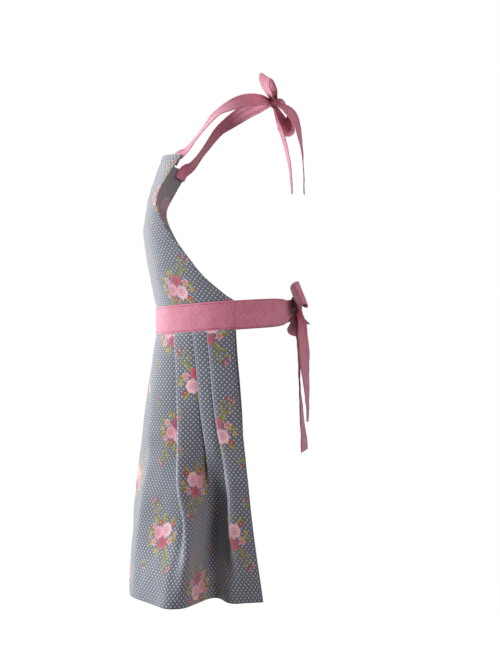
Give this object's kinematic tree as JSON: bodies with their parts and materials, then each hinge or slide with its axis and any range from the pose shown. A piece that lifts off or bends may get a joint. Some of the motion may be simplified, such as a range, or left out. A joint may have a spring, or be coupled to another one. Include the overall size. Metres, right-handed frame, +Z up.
{
  "type": "bib apron",
  "caption": "Bib apron as worn: dotted floral cotton bib and pleated skirt, pink waistband and ties in a bow at the back, neck straps tied at the nape.",
  "frame": {"origin": "the place at the back of the wearer's neck where the tied straps bear and the apron hangs", "axes": "+Z up as worn, -Y the way the wearer faces, +X the wearer's left"},
  "size_m": [0.439, 0.3203, 0.9032],
  "materials": {
    "printed_cotton": "matt woven cotton, white pin dots and rose sprays printed on grey-blue",
    "pink_cotton": "matt woven cotton, tiny white dots printed on pink, topstitched"
  },
  "bodies": {
    "root": {"bib": "printed_cotton", "skirt": "printed_cotton", "waistband": "pink_cotton", "waist_knot": "pink_cotton", "waist_tie_left": "pink_cotton", "waist_tie_right": "pink_cotton", "waist_loop_left": "pink_cotton", "waist_loop_right": "pink_cotton", "waist_tail_left": "pink_cotton", "waist_tail_right": "pink_cotton", "neck_knot": "pink_cotton", "neck_strap_left": "pink_cotton", "neck_strap_right": "pink_cotton", "neck_loop_left": "pink_cotton", "neck_loop_right": "pink_cotton", "neck_tail_left": "pink_cotton", "neck_tail_right": "pink_cotton"}
  },
  "joints": []
}
